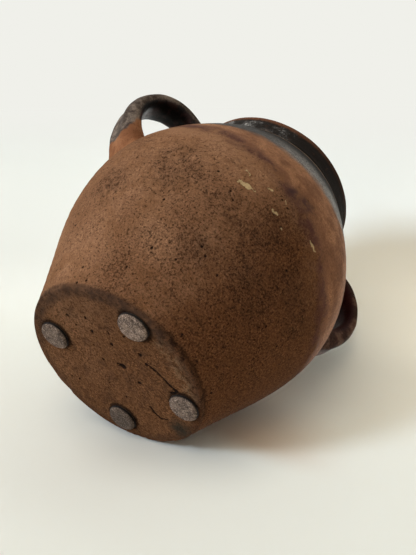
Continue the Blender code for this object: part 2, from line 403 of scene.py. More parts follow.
def outside_curve():
    """(radius, height) of the outside: foot to belly, belly to shoulder, the hollow above it, the collar."""
    foot, belly = (FOOT_RADIUS, FOOT_EDGE), (BELLY_RADIUS, BELLY_HEIGHT)
    shoulder, neck = (SHOULDER_RADIUS, SHOULDER_HEIGHT), (NECK_RADIUS, NECK_HEIGHT)
    flank = bezier(foot, leaning(FOOT_PULL, FOOT_SLOPE), (0, BELLY_PULL_BELOW), belly, 200)
    upper = bezier(belly, (0, BELLY_PULL_ABOVE), leaning(SHOULDER_PULL, -SHOULDER_SLOPE), shoulder, 160)
    hollow = bezier(shoulder, leaning(NECK_PULL, -SHOULDER_SLOPE), (0, NECK_PULL), neck, 40)
    collar = bezier(neck, (0, NECK_PULL), leaning(NECK_PULL, LIP_SLOPE), (LIP_RADIUS, LIP_HEIGHT), 40)
    return flank, upper, hollow, collar


def inside_curve(outside):
    """The outside moved in by the wall's thickness, then a round corner and a flat floor."""
    slope = unit(np.gradient(outside, axis=0))
    outward = np.column_stack([slope[:, 1], -slope[:, 0]])
    thickness = np.interp(outside[:, 1], (NECK_HEIGHT, LIP_HEIGHT), (WALL, LIP_THICKNESS))[:, None]
    wall = (outside - thickness * outward)[::-1]
    wall = wall[wall[:, 1] > FLOOR_THICKNESS + FLOOR_ROUND]
    pull, floor = FLOOR_ROUND * ROUND_PULL, (wall[-1][0] - FLOOR_ROUND, FLOOR_THICKNESS)
    return wall, bezier(wall[-1], unit(wall[-1] - wall[-2]) * pull, (-pull, 0), floor, 20), floor


def pot_profile():
    """Rows of (radius, height) and the first row of each part, in the order that the wall is walked."""
    flank, upper, hollow, collar = outside_curve()
    wall, corner, floor = inside_curve(np.vstack([flank, upper[1:], hollow[1:], collar[1:]]))
    base = np.array([(POLE_RADIUS, 0.0), (FOOT_RADIUS - FOOT_EDGE, 0.0)])
    pull = FOOT_EDGE * ROUND_PULL
    edge = bezier(base[1], (pull, 0), leaning(pull, FOOT_SLOPE), flank[0], 20)
    turn = np.linspace(0.0, math.pi, 40)[:, None]
    half = LIP_THICKNESS / 2
    lip = np.hstack([LIP_RADIUS - half + half * np.cos(turn), LIP_HEIGHT + half * np.sin(turn)])
    middle = np.array([floor, (POLE_RADIUS, FLOOR_THICKNESS)])
    parts = (base, edge, flank, upper, hollow, collar, lip, wall, corner, middle)
    walked = [spaced(curve, count)[:-1] for curve, count in zip(parts, PART_ROWS)]
    starts = np.cumsum([0] + [len(part) for part in walked])
    return np.vstack(walked) + (0.0, CLAY_LIFT), starts


profile, part_starts = pot_profile()
outside_rows = np.vstack(outside_curve()) + (0.0, CLAY_LIFT)
print("profile:", len(profile), "rows,", COLUMNS, "columns")

# %% Marks of the wheel and of wear
RING_PITCH, RING_DEPTH, INSIDE_RING_DEPTH = 0.0064, 0.00009, 0.00026
FINE_PITCH, FINE_DEPTH = 0.0029, 0.00004
SLOW_SIZE, SLOW_DEPTH, SMALL_SIZE, SMALL_DEPTH, TINY_SIZE = 0.027, 0.00028, 0.0085, 0.00010, 0.0036
COLLAR_FOOT, COLLAR_PROUD, COLLAR_STEP = 0.1880, 0.0008, 0.0014
SHOULDER_EDGE = 0.1790
FOOT_LINE, FOOT_LINE_DEPTH, FOOT_LINE_HALF = 0.0060, 0.0007, 0.0009
FOOT_LINE_TURN, FOOT_LINE_SPREAD = math.radians(-62.0), 0.55
EDGE_WEAR, EDGE_WEAR_REACH = 0.0006, 0.0022
BASE_PITS = metres((1.4, -8.6, 1.7), (0.3, -7.5, 1.1), (2.8, -9.2, 1.1), (-1.4, -7.1, 0.8),
    (-39.5, -5.8, 0.9), (-32.6, -17, 0.9), (-24.3, -12, 1.1), (-8.3, 0.4, 0.9), (1.5, -29.1, 1.1),
    (-12.2, -16.7, 1), (5.4, 13.6, 0.8), (-18.2, -22.3, 0.8), (14.7, -8.8, 1.1), (17.8, 11.8, 0.8),
    (-11.3, -30.6, 0.8), (-17.8, -3.3, 0.7), (-6.8, 36.2, 0.9), (-11.1, 40.7, 0.8), (-32.3, -5.6, 0.7))
BASE_CRACK = metres((7.6, -27.3), (13.9, -29.3), (19.2, -29), (26.1, -28.7), (29.3, -29.9))
BASE_SPLIT = metres((29.3, -29.9), (29.6, -27.2), (28.5, -25))
BASE_GOUGE = metres((30.3, 1.4), (35.1, 2.8), (39.5, 2.1), (42, -1.8))
# Each line in the base with its depth and half width.
BASE_LINES = ((BASE_CRACK, 0.0007, 0.0007), (BASE_SPLIT, 0.0005, 0.0006), (BASE_GOUGE, 0.0006, 0.0009))


print("base:", len(BASE_PITS), "pits and", len(BASE_LINES), "lines")


# %% Depth of the marks
def near_line(points, line):
    """Distance from flat points to the nearest part of a line through the given corners."""
    nearest = np.full(points.shape[:-1], 1.0)
    for start, end in zip(np.array(line[:-1]), np.array(line[1:])):
        along = end - start
        share = np.clip(((points - start) @ along) / (along @ along), 0.0, 1.0)
        nearest = np.minimum(nearest, np.linalg.norm(points - start - share[..., None] * along, axis=-1))
    return nearest


def base_marks(points):
    """Depth of the drying crack, the gouge and the pits in the base: each a Gaussian of its distance."""
    flat = points[..., :2]
    depth = np.zeros(flat.shape[:-1])
    for line, deep, half in BASE_LINES:
        depth += deep * np.exp(-(near_line(flat, line) / half) ** 2)
    for x, y, size in BASE_PITS:
        depth += 0.6 * size * np.exp(-(np.linalg.norm(flat - (x, y), axis=-1) / size) ** 2)
    return depth


def rings(height, angle, pitch):
    """Finger rings: a sine of the height that climbs one pitch for each turn of the wheel."""
    return np.sin(2.0 * math.pi * height / pitch + angle)


def rows_between(first, last, fade):
    """1 on the rows of the parts first to last, falling to 0 over a few rows at either end."""
    row = np.arange(len(profile))[:, None]
    rise = np.clip((row - part_starts[first]) / fade + 1.0, 0.0, 1.0)
    return rise * np.clip((part_starts[last] - row) / fade, 0.0, 1.0)


# %% Thrown pot body
angle = full_turn(COLUMNS)
radius, height = profile[:, :1], profile[:, 1:]
round_pot, outward = spun(radius, height, angle), straight_out(profile, angle)

under, outside = rows_between(BASE, EDGE, 3.0), rows_between(FLANK, LIP, 4.0)
at_lip, inside = rows_between(LIP, INNER_WALL, 4.0), rows_between(INNER_WALL, LAST, 6.0)
worn_edge = profile[part_starts[EDGE] + 3]
at_foot = np.exp(-(np.linalg.norm(profile - worn_edge, axis=1)[:, None] / EDGE_WEAR_REACH) ** 2)
slow, small = lumps(round_pot, SLOW_SIZE), lumps(round_pot, SMALL_SIZE, 3.7)
tiny = lumps(round_pot, TINY_SIZE, 8.1)

relief = outside * (RING_DEPTH * (0.6 + 0.4 * slow) * rings(height, angle, RING_PITCH))
relief += outside * FINE_DEPTH * rings(height, angle, FINE_PITCH)
relief += inside * INSIDE_RING_DEPTH * rings(height, angle, RING_PITCH)
relief += (outside + at_lip) * (SLOW_DEPTH * slow + SMALL_DEPTH * small)
step = np.clip((height - COLLAR_FOOT) / COLLAR_STEP + 0.5, 0.0, 1.0)
relief += (outside + at_lip) * COLLAR_PROUD * step * step * (3.0 - 2.0 * step)
relief += under * (0.00016 * small + 0.00009 * tiny - base_marks(round_pot))
relief -= at_foot * EDGE_WEAR * np.clip(small + 0.6 * tiny - 0.25, 0.0, 1.0)
relief -= at_lip * EDGE_WEAR * np.clip(small + 0.5 * tiny - 0.45, 0.0, 1.0)
from_turn = np.angle(np.exp(1j * (angle - FOOT_LINE_TURN)))
from_line = (height - FOOT_LINE - 0.0006 * small) / FOOT_LINE_HALF
relief -= outside * FOOT_LINE_DEPTH * np.exp(-(from_turn / FOOT_LINE_SPREAD) ** 4 - from_line ** 2)
pot_grid = round_pot + relief[..., None] * outward
out_of_round = 1.0 + 0.0035 * np.cos(2 * angle + 0.6) + 0.0018 * np.cos(3 * angle - 1.1)
pot_grid[..., :2] *= out_of_round[..., None]

pot = clay_piece("thrown_pot", pot_grid)
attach(pot, "root")
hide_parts("pot_body")

# %% [markdown]
# The finish has to know the inside from the outside, and the base from the wall. The rows already say so,
# so two numbers per point are kept with the mesh for the shader to read.


# %% Zones kept with the mesh
def keep_number(piece, name, values):
    """Stores one number for each point of a mesh, poles last."""
    attribute = piece.data.attributes.new(name, "FLOAT", "POINT")
    numbers = np.concatenate([values.ravel(), values[0, :1], values[-1, :1]])
    attribute.data.foreach_set("value", numbers.astype(np.float32))


keep_number(pot, "under", under + 0.0 * angle)
keep_number(pot, "inside", np.clip(inside + 0.0 * angle, 0.0, 1.0))
print("zones: under and inside")

# %% [markdown]
# ## The pulled handles
# A strap handle is pulled from a lump of wet clay, so it is thick where it starts and thins along its
# length. The potter presses both ends into the wall and runs a thumb down the strap, which leaves a groove.
# A section carried along a path gives all of this: the path lies in the plane of the handle, and the
# section's width and thickness change along it. A curve with a bevel would do for an even strap, but it has
# no groove or lumps, so the section is worked out row by row.

# %% Sizes of a handle
HANDLE_STAND_OFF, BEND_RISE, CROWN_OUT, CROWN_RISE = 0.0160, 0.0535, 0.0215, 0.0290
LOWER_ROOT_RISE, LOWER_ROOT_ANGLE = 0.0160, math.radians(36.0)
UPPER_ROOT_RISE, UPPER_ROOT_ANGLE = 0.0040, math.radians(34.0)
ROOT_SINK, BEND_PULL, UPPER_PULL = 0.0065, 0.0450, 0.0270
STRAP_WIDTH, STRAP_THICKNESS, STRAP_SQUARENESS = 0.0240, 0.0110, 2.5
LOWER_ROOT_WIDTH, LOWER_ROOT_THICKNESS = 0.0370, 0.0245
UPPER_ROOT_WIDTH, UPPER_ROOT_THICKNESS = 0.0330, 0.0175
LOWER_FLARE_END, UPPER_FLARE_START = 0.42, 0.74
# Places and half widths across the strap are shares of its half width.
THUMB_GROOVE_DEPTH, THUMB_GROOVE_HALF = 0.0011, 1 / 2.4
THUMB_RIDGE, THUMB_RIDGE_PLACE, THUMB_RIDGE_HALF = 0.0005, 0.62, 1 / 6.0
# Height, size and seed of each layer of lumps.
SWELLS = ((0.00050, 0.016, 0.0), (0.00022, 0.006, 5.0))
STATIONS, SIDES = 56, 84
HIDDEN_SINK = 0.0022
print("strap:", STRAP_WIDTH * 1000, "mm wide")


# %% Strap path
def wall_radius(height):
    """Radius of the pot's outside at a height."""
    return np.interp(height, outside_rows[:, 1], outside_rows[:, 0])


def strap_path():
    """(radius, height) along the strap: out of the belly, round the bend, over the crown, to the lip."""
    lower_z = CLAY_LIFT + BELLY_HEIGHT + LOWER_ROOT_RISE
    upper_z = CLAY_LIFT + SHOULDER_HEIGHT + UPPER_ROOT_RISE
    bend = np.array((BELLY_RADIUS + HANDLE_STAND_OFF, CLAY_LIFT + BELLY_HEIGHT + BEND_RISE))
    crown = np.array((NECK_RADIUS + CROWN_OUT, bend[1] + CROWN_RISE))
    lower = np.array((wall_radius(lower_z) - ROOT_SINK, lower_z))
    upper = np.array((wall_radius(upper_z) - ROOT_SINK, upper_z - ROOT_SINK * math.tan(UPPER_ROOT_ANGLE)))
    out = BEND_PULL / 3 * np.array((math.cos(LOWER_ROOT_ANGLE), math.sin(LOWER_ROOT_ANGLE)))
    back = -UPPER_PULL / 3 * np.array((math.cos(UPPER_ROOT_ANGLE), math.sin(UPPER_ROOT_ANGLE)))
    rising = bezier(lower, out, (0, BEND_PULL / 3), bend, STATIONS)
    turning = bezier(bend, (0, BEND_PULL / 3), (-BEND_PULL / 3, 0), crown, STATIONS)
    falling = bezier(crown, (-UPPER_PULL / 3, 0), back, upper, STATIONS)
    return np.vstack([rising[:-1], turning[:-1], falling])


# %% Strap section
def rounded_square(turn, power):
    """Cosine and sine of a turn, flattened so that the circle becomes a rounded bar."""
    wave = np.stack([np.cos(turn), np.sin(turn)])
    return np.sign(wave) * np.abs(wave) ** (2.0 / power)


def strap_grid(seed):
    """The section swept along the path, in the plane of +X, with its root ends kept inside the wall."""
    path = strap_path()
    way = unit(np.gradient(path, axis=0))
    share = np.linspace(0.0, 1.0, len(path))[:, None]
    low = np.clip(1.0 - share / LOWER_FLARE_END, 0.0, 1.0) ** 2
    high = np.clip((share - UPPER_FLARE_START) / (1.0 - UPPER_FLARE_START), 0.0, 1.0) ** 2
    plain = 1.0 - low - high
    width = plain * STRAP_WIDTH + low * LOWER_ROOT_WIDTH + high * UPPER_ROOT_WIDTH
    thick = plain * STRAP_THICKNESS + low * LOWER_ROOT_THICKNESS + high * UPPER_ROOT_THICKNESS
    turn = np.linspace(2.0 * math.pi, 0.0, SIDES, endpoint=False)[None, :]
    side, depth = rounded_square(turn, STRAP_SQUARENESS)
    groove = THUMB_GROOVE_DEPTH * np.exp(-(side / THUMB_GROOVE_HALF) ** 2)
    ridge = THUMB_RIDGE * np.exp(-((np.abs(side) - THUMB_RIDGE_PLACE) / THUMB_RIDGE_HALF) ** 2)
    deep = depth * thick / 2 + (ridge - groove) * np.clip(depth, 0.0, 1.0)
    x, z = path[:, :1] + deep * way[:, 1:], path[:, 1:] - deep * way[:, :1]
    grid = np.stack([x, side * width / 2 + 0.0 * deep, z], axis=-1)
    swell = sum(height * lumps(grid, size, seed + shift) for height, size, shift in SWELLS)
    middle = np.stack([path[:, 0], 0.0 * path[:, 0], path[:, 1]], axis=-1)[:, None, :]
    grid = grid + swell[..., None] * unit(grid - middle)
    reach = np.hypot(grid[..., 0], grid[..., 1])
    hidden = wall_radius(grid[..., 2]) - HIDDEN_SINK
    push = np.where(reach < hidden, hidden / reach, 1.0)
    grid[..., :2] *= push[..., None]
    return grid, np.clip(-depth, 0.0, 1.0) + 0.0 * thick


# %% Both handles
def strap_handle(name, node, facing, seed):
    """One handle: facing is 1 towards +X, or -1 for the half turn about the pot's axis."""
    grid, inner = strap_grid(seed)
    piece = clay_piece(name, grid * (facing, facing, 1.0))
    keep_number(piece, "inner", inner)
    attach(piece, "root")
    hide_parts(node)
    return piece


handle_right = strap_handle("strap_handle_right", "handle_right", 1.0, 2.3)
handle_left = strap_handle("strap_handle_left", "handle_left", -1.0, 9.6)

# %% [markdown]
# ## The felt pads
# Stick-on pads are stamped from pressed wool. The stamp leaves a soft edge, the surface is never flat, and
# loose fibres lie over it. Each pad is a closed disc with a crowned underside, roughened by lumps smaller
# than a millimetre. The fibres are thin spindles bent over the surface, a few faces each.

# %% Sizes of a pad
PAD_RADIUS, PAD_THICKNESS, PAD_CROWN = 0.0091, 0.0025, 8.0
PAD_PLACES = {"back_left": (154.0, 0.0167), "front_left": (254.0, 0.0106), "front_right": (327.0, 0.0106),
              "back_right": (48.5, 0.0158)}
PAD_COLUMNS = 120
FIBRES, FIBRE_STATIONS, FIBRE_SIDES, FIBRE_THICKNESS = 300, 6, 3, 0.00009
FIBRE_LENGTH, FIBRE_LONGER, FIBRE_BEND = 0.0016, 0.0026, 500.0
SUNFLOWER_TURN, SCATTER = 2.39996, (0.7548776662, 0.5698402910, 0.3819660113)
# Height, size and seed of each layer of lumps.
FUZZ = ((0.00013, 0.0016, 0.0), (0.00008, 0.0007, 3.0))


def pad_middle(turn, inset):
    """Centre of a pad, given by its direction in degrees and its distance in from the foot's edge."""
    reach = FOOT_RADIUS - inset
    return reach * math.cos(math.radians(turn)), reach * math.sin(math.radians(turn)), 0.0


def crown_height(reach):
    """T (1 - sqrt(1 - (r/R)^p)): height of the crowned underside at a distance from its middle."""
    return PAD_THICKNESS * (1.0 - (1.0 - (reach / PAD_RADIUS) ** PAD_CROWN) ** 0.5)


print("pads:", len(PAD_PLACES), "of", round(2000 * PAD_RADIUS, 1), "mm across")


# %% Felt disc
def felt_disc(middle, seed):
    """Rows from the middle of the crowned underside, round the edge, to the middle of the glued side."""
    reach = PAD_RADIUS * np.linspace(0.03, 1.0, 200)[:, None]
    crown = np.hstack([reach, crown_height(reach)])
    back = np.array([crown[-1], (0.0003, PAD_THICKNESS)])
    rows = np.vstack([spaced(crown, 56), spaced(back, 8)[1:]])
    angle = full_turn(PAD_COLUMNS)
    uneven = 1.0 + 0.020 * np.cos(2 * angle + seed) + 0.012 * np.cos(3 * angle - 2.0 * seed)
    grid = spun(rows[:, :1] * uneven, rows[:, 1:], angle) + middle
    fuzz = sum(height * lumps(grid, size, seed + shift) for height, size, shift in FUZZ)
    seen = 1.0 - np.clip((rows[:, 1:] - PAD_THICKNESS * 0.7) / (PAD_THICKNESS * 0.25), 0.0, 1.0)
    return grid + (seen * fuzz)[..., None] * straight_out(rows, angle)


# %% Loose fibres
def fibre_grid(middle, seed):
    """Spindles[fibre, station, side]: sunflower places, each a shallow arc, sqrt(sin(pi s)) thick."""
    number = np.arange(FIBRES)
    reach = PAD_RADIUS * 0.96 * np.sqrt((number + 0.5) / FIBRES)
    turn = number * SUNFLOWER_TURN + seed
    heading, longer, bend = (number * step % 1.0 for step in SCATTER)
    heading, bend = heading * 2.0 * math.pi, (bend - 0.5) * FIBRE_BEND
    length = FIBRE_LENGTH + FIBRE_LONGER * longer
    share = np.linspace(0.02, 0.98, FIBRE_STATIONS)[None, :]
    along = (share - 0.5) * length[:, None]
    aside = bend[:, None] * along ** 2
    cos, sin = np.cos(heading)[:, None], np.sin(heading)[:, None]
    x = (reach * np.cos(turn))[:, None] + along * cos - aside * sin
    y = (reach * np.sin(turn))[:, None] + along * sin + aside * cos
    within = np.minimum(1.0, PAD_RADIUS * 0.97 / np.hypot(x, y))
    z = crown_height(np.hypot(x, y) * within) - 0.00010 * np.sin(math.pi * share) + 0.00006
    line = np.stack([x * within, y * within, z], axis=-1) + middle
    thick = FIBRE_THICKNESS / 2 * np.sin(math.pi * share) ** 0.5
    around = full_turn(FIBRE_SIDES).T
    sideways = np.stack([-sin, cos, 0.0 * sin], axis=-1)[:, :, None, :]
    ring = np.cos(around) * sideways + np.sin(around) * np.array((0.0, 0.0, 1.0))
    return line[:, :, None, :] + thick[..., None, None] * ring


def felt_pad(name, middle, seed):
    """A disc and its fibres as one mesh."""
    disc, fibres = felt_disc(middle, seed), fibre_grid(middle, seed)
    body, faces = with_poles(disc), closed_faces(*disc.shape[:2])
    ends = np.stack([fibres[:, 0].mean(axis=1), fibres[:, -1].mean(axis=1)], axis=1)
    spindles = np.concatenate([fibres.reshape(FIBRES, -1, 3), ends], axis=1)
    first = len(body) + np.arange(FIBRES)[:, None, None] * spindles.shape[1]
    spindle = closed_faces(FIBRE_STATIONS, FIBRE_SIDES)
    for corners in (4, 3):
        shape = np.array([face for face in spindle if len(face) == corners])
        faces += (first + shape).reshape(-1, corners).tolist()
    return mesh_piece(name, np.vstack([body, spindles.reshape(-1, 3)]), faces)


pads = {}
for number, (place, (turn, inset)) in enumerate(PAD_PLACES.items()):
    pads[place] = felt_pad("felt_disc_" + place, pad_middle(turn, inset), 1.7 * number + 0.4)
    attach(pads[place], "root")
    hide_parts("felt_pad_" + place)

# %% [markdown]
# ## The fired clay
# The pot was dipped mouth down and a little askew, so the dip line slopes round the belly and runs on over
# the left handle. Below it the clay is bare: reddish brown, sandy, full of pores, clouded by smoke from the
# kiln. Above it a thin wash makes the clay smooth, and near the neck the glaze is thick and nearly black.
# A painted image could show this, but noises and distances need no image and stay sharp close up. One finish
# holds all the layers, from the clay upwards, because they share the same noises and lines. Some of them
# paint
# light and shade into the colour: shade on the side away from the light, in the nicks and the groove of the
# foot and round each pad, a grey sheen below the neck, glints on the collar and, in part, a highlight on the
# shoulder's edge.

# %% Colours of the clay and the glaze
RAW_CLAY, PALE_CLAY, DEEP_CLAY = tone(130, 91, 63), tone(151, 110, 81), tone(88, 54, 31)
BASE_CLAY, DUST = tone(105, 73, 49), tone(120, 96, 72)
SMOKE, PORE, PIT = tone(66, 45, 32), tone(40, 26, 17), tone(26, 19, 15)
SOOT, SOOT_GREY = tone(58, 43, 35), tone(46, 43, 36)
WASH, WASH_DEEP, WASH_PALE = tone(158, 111, 79), tone(118, 79, 56), tone(178, 128, 93)
STAIN, STAIN_BLUE, CHIP = tone(72, 45, 43), tone(52, 42, 46), tone(205, 176, 128)
# The third of these, a grey, is a painted sheen.
GLAZE, GLAZE_BROWN, PAINTED_SHEEN = tone(27, 21, 17), tone(62, 40, 29), tone(122, 111, 101)
# The first of these is a painted glint; the pale ridge colour is partly a painted highlight.
PAINTED_GLINT, RIDGE, LIP_BROWN = tone(150, 142, 134), tone(140, 112, 86), tone(108, 68, 47)

# %% [markdown]
# Smoke, pits and chips are where they are by accident, so their places are listed, in millimetres. A chip or
# a smear is a stroke: its two ends and its half width.

# %% Places of the marks
DIP_LEVEL, DIP_TILT = 0.1075, 0.33
THICK_GLAZE = 0.1430
SOOT_SPOT = (0.0515, -0.0045, 0.0032)
SMOKE_PATCHES = metres((-61, -68, 90), (-58, -65, 73), (-19, -84, 69), (-4, -85, 68), (2, -90, 83),
    (11, -79, 54), (33, -79, 69), (51, -68, 69), (24, -74, 51), (-76, -35, 65), (-18, -74, 47),
    (-51, -72, 78), (5, -92, 106), (10, -91, 111))
PALE_PATCHES = metres((-51.6, -77.3, 106.6), (-34.9, -63.6, 39), (-64, -30, 33), (-40.4, -60.4, 39.2))
WALL_PITS = metres((-23.3, -85, 77.3), (-27.6, -84.9, 81), (-34.8, -60.8, 33.9), (-48.8, -30.6, 6.1),
    (-46.2, -35.5, 7.8), (22.1, -54.3, 8.6), (6.4, -59, 10.4), (-48.9, -65.5, 59.2), (-22.2, -66.9, 34.8),
    (-36.9, -51.9, 20.4), (-52.5, -31.5, 15), (-73.4, -14.2, 43.6), (-17.5, -74.4, 47.2),
    (-13.1, -74.1, 44.8), (-1.7, -73.8, 41.8), (24.4, -83.2, 72), (37.5, -67, 48), (52, -58.6, 51.4),
    (41.5, -42.1, 9.8), (-39.6, -81.7, 88.2), (-4, -92.3, 99), (1.2, -92.4, 97.2), (7.8, -92, 115.7))
CHIPS = metres((-27.9, -86.6, 89.6, -21.5, -88.6, 90.1, 0.9), (-24.4, -88, 89.9, -22.2, -88.4, 89.9, 1.6),
    (-20.5, -88.8, 90.3, -17.9, -89.4, 89.9, 0.3), (-4.3, -90.7, 88.6, -1, -90.9, 88.6, 0.6),
    (24, -88.9, 96, 29.8, -87.1, 95.7, 0.6), (-2, -92.5, 100.8, -1.5, -92.3, 98.8, 0.3),
    (6.3, -90, 84.8, 6.6, -90, 84.6, 0.3), (-29.3, -87.6, 99, -26.2, -88.5, 97.6, 0.4),
    (-14, -91.3, 98.2, -11.6, -91.6, 98.6, 0.4))
SMEARS = metres((0.5, -92.9, 108.5, 10, -92, 111, 2))
print("marks:", len(SMOKE_PATCHES), "smoke patches,", len(WALL_PITS), "pits,", len(CHIPS), "chips")

# %% Clay layers
clay = Finish("earthenware", Specular_IOR_Level=0.02, Coat_Roughness=0.18, Coat_IOR=1.4)
x, y, z = clay.axes()
reach = (x * x + y * y) ** 0.5
ragged, torn, frayed = clay.warped(0.016, 0.012), clay.warped(0.0018, 0.0014), clay.warped(0.0024, 0.0034)
broad, cloud = clay.noise(0.050, 2.0), clay.noise(0.015, 4.0, 0.62)
grain, sand = clay.noise(0.0040, 4.0, 0.66), clay.noise(0.0012, 2.0, 0.6)
drag = clay.noise(0.0016, 3.0, 0.6, clay.stretched(clay.place, (0.12, 0.12, 1.0)))
is_under, is_inside = clay.kept("under"), clay.kept("inside")

# Darker towards +X and downwards: partly the clay's own tone, partly painted shade on the side away from the
# light.
deeper_and_shaded = (0.80 * x - 0.40 * z + 0.09 * broad).smooth(-0.030, 0.055)
crowded = (cloud * 0.6 + broad * 0.4).smooth(0.44, 0.60)
pale = clay.nearest_of(ragged, PALE_PATCHES).smooth(0.020, 0.003)
smoke = clay.nearest_of(ragged, SMOKE_PATCHES).smooth(0.022, 0.001) * grain.smooth(0.34, 0.62)
tint = clay.blend(
    RAW_CLAY,
    (cloud.smooth(0.36, 0.64), PALE_CLAY),
    (deeper_and_shaded * 0.85, DEEP_CLAY),
    (crowded * 0.45, DEEP_CLAY),
    (pale * 0.50, PALE_CLAY),
    (smoke * 0.46, SMOKE),
    (drag.smooth(0.52, 0.70) * 0.22, SMOKE),
    (grain.smooth(0.50, 0.72) * 0.40, DEEP_CLAY),
    (sand.smooth(0.44, 0.28) * (0.35 - 0.28 * deeper_and_shaded), PALE_CLAY))
print("bare clay: clouds, smoke and the drag of the wheel")

# %% Pores and pits
density = (0.22 * crowded + 0.75 * smoke + 0.30 * deeper_and_shaded + 0.25 * is_under).least(1.0)
fine_pores = (clay.noise(0.0013, 3.0, 0.60, torn) + 0.08 * density).smooth(0.58, 0.68)
wide_pores = (clay.cells(0.0042, torn) + 0.12 * (1.0 - density)).smooth(0.15, 0.07)
pores = (0.75 * fine_pores).most(wide_pores)
pits = clay.nearest_of(torn, WALL_PITS).smooth(0.0010, 0.0003)
grit = clay.noise(0.0010, 2.0, 0.7) - 0.5
speckle = grit * (2.1 + 1.3 * deeper_and_shaded) + (sand - 0.5) * (0.9 + 0.6 * deeper_and_shaded)
speckle = (0.62 + 0.40 * crowded + 0.25 * smoke) * speckle
tint = clay.blend(clay.scaled(tint, 1.0 + speckle), (pores * 0.86, PORE), (pits * 0.95, PIT))
print("pores in two sizes and", len(WALL_PITS), "pits")

# %% Soot, dust and painted shade on the base
to_left, to_front = (-0.86 * x - 0.50 * y) / reach, (0.47 * x - 0.88 * y) / reach
at_front = to_front.smooth(0.78, 0.92)
low = (z + 0.003 * grain).smooth(0.0085, 0.0060)
soot_band = (reach + 0.012 * (cloud - 0.5)).smooth(0.0465, 0.0525) * to_left.smooth(0.15, 0.60)
soot_inner = (-0.78 * x - 0.63 * y + 0.016 * cloud).smooth(0.026, 0.056) * 0.30
# Darker all round towards the foot's edge.
dark_foot_rim = (reach + 0.010 * cloud).smooth(0.0545, 0.0585) * 0.60
soot = soot_band.most(soot_inner).most(dark_foot_rim) * (0.62 + 0.38 * grain.smooth(0.40, 0.60))
soot_spot = clay.distance(ragged, SOOT_SPOT).smooth(0.012, 0.002) * (0.45 + 0.50 * grain.smooth(0.35, 0.60))
dust = (reach + 0.010 * (cloud - 0.5)).smooth(0.0425, 0.0495) * to_front.smooth(0.72, 0.94)
dust = dust * grain.smooth(0.38, 0.58)
blotch = clay.noise(0.0085, 3.0, 0.6, ragged).smooth(0.50, 0.66)
# Painted shade: dark spots in the nicks along the broken front edge of the foot.
nick_shade = clay.noise(0.0042, 4.0, 0.72, clay.warped(0.0060, 0.0050)).smooth(0.53, 0.60)
nick_shade = nick_shade * at_front * reach.smooth(0.0470, 0.0510)
mottle = 0.25 * speckle + (grain - 0.5) + 0.5 * (cloud - 0.5)
tint = clay.blend(
    tint, (is_under * 0.45, BASE_CLAY), (is_under * blotch * 0.50, SMOKE), (is_under * dust * 0.42, DUST))
tint = clay.blend(
    clay.scaled(tint, 1.0 + is_under * mottle),
    (low * soot * 0.85, SOOT), (low * soot_spot, SOOT_GREY), (low * nick_shade * 0.75, PORE))
print("base: soot on one side, a sooty spot, dust and blotches")

# %% Pits and cracks in the base, and painted shade round the pads and in the foot's groove
PIT_LENGTH, CRACK_HALF, FLATTENED = 0.0001, 0.00035, (1.0, 1.0, 0.0)
flat, flat_frayed, flat_torn = (clay.stretched(place, FLATTENED) for place in (clay.place, frayed, torn))
base_points = [(px, py, 0.0, px, py + PIT_LENGTH, 0.0, 1.3 * size - 0.0005) for px, py, size in BASE_PITS]
base_lines = [(*a, 0.0, *b, 0.0, CRACK_HALF) for line, *_ in BASE_LINES for a, b in zip(line, line[1:])]
base_holes = clay.nearest_stroke(flat_frayed, base_points).smooth(0.0004, -0.0003)
base_cracks = (clay.nearest_stroke(flat_torn, base_lines) + 0.0022 * (grain - 0.5)).smooth(0.0006, 0.0001)
pad_points = [pad_middle(*place) for place in PAD_PLACES.values()]
# Painted shadow: a dark ring on the base round each pad.
pad_shadow_ring = clay.nearest_of(flat, pad_points) - PAD_RADIUS + 0.003 * (grain - 0.5)
# Painted shade along the groove just above the front of the foot.
foot_groove_shade = abs(z - FOOT_LINE + 0.004 * (grain - 0.5)).smooth(0.0014, 0.0003) * at_front
tint = clay.blend(
    tint,
    (is_under * pad_shadow_ring.smooth(0.0026, 0.0006) * 0.80, PIT),
    (is_under * base_holes.most(base_cracks) * 0.95, PIT),
    (foot_groove_shade * 0.60, PORE))
print("base:", len(base_points), "pits, a crack, a gouge and painted_shadow round the pads")

# %% Wash over the clay
ragged_x, _, rise = clay.axes(ragged)
over_line = rise + DIP_TILT * ragged_x - DIP_LEVEL
pale_band = abs(over_line + 0.009).smooth(0.016, 0.004) * (-x).smooth(0.015, 0.050)
washed = over_line.smooth(-0.0050, 0.0060) * (1.0 - is_under)
stained = abs(over_line).smooth(0.0105, 0.0005) * cloud.smooth(0.35, 0.60)
smear = clay.nearest_stroke(ragged, SMEARS).smooth(0.0060, -0.0010) * (0.35 + 0.65 * grain.smooth(0.40, 0.60))
chipped = clay.nearest_stroke(frayed, CHIPS).smooth(0.0005, -0.0001)
wash_tint = clay.blend(
    WASH_DEEP,
    (cloud.smooth(0.36, 0.66), WASH),
    (pale * 0.60, WASH_PALE),
    (grain.smooth(0.54, 0.74) * 0.35, PORE))
tint = clay.blend(
    tint,
    (pale_band * 0.55, PALE_CLAY),
    (washed * 0.82, clay.scaled(wash_tint, 1.0 + 0.7 * speckle)),
    (stained * 0.80, STAIN),
    (smear * 0.70, STAIN_BLUE),
    (chipped * (0.70 + 0.50 * (sand - 0.5)), CHIP))
print("wash, stains, a smear and", len(CHIPS), "chips laid over the clay")

# %% Glaze of the neck, with a painted sheen and painted glints
thick = (rise + 0.005 * grain).smooth(THICK_GLAZE, THICK_GLAZE + 0.011).most(is_inside)
